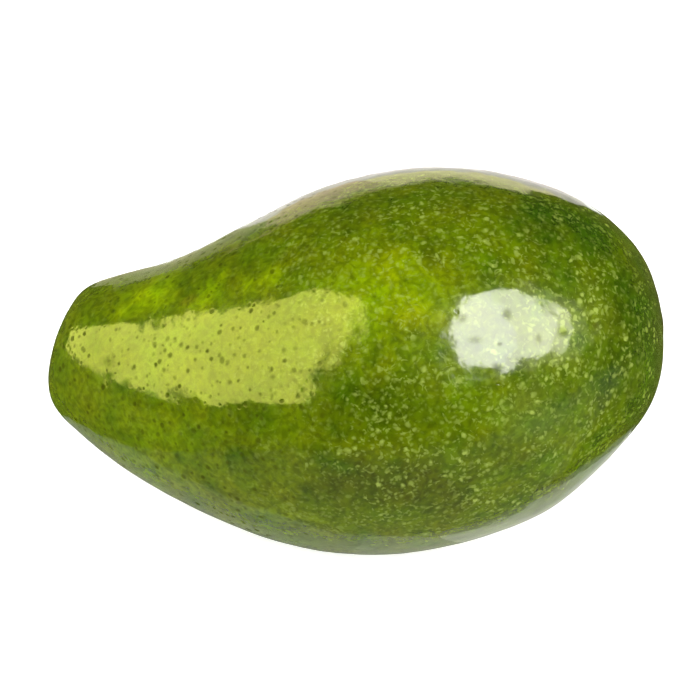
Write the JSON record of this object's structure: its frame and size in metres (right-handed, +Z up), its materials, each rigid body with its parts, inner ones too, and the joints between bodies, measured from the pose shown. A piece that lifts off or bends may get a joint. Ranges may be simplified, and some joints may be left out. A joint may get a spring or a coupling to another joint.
{
  "type": "avocado",
  "caption": "Whole smooth green pear-shaped avocado as picked, lying on its side on a small flat spot, with a slim neck, a dimpled corky stem scar and a rounded blossom end.",
  "frame": {"origin": "on the surface that the fruit lies on, under the middle of its bounding box", "axes": "+X along the fruit towards the blossom end, so the stem end is at -X; +Z up"},
  "size_m": [0.1204, 0.0756, 0.0736],
  "materials": {
    "skin": null
  },
  "bodies": {
    "root": {"avocado": "skin"}
  },
  "joints": []
}
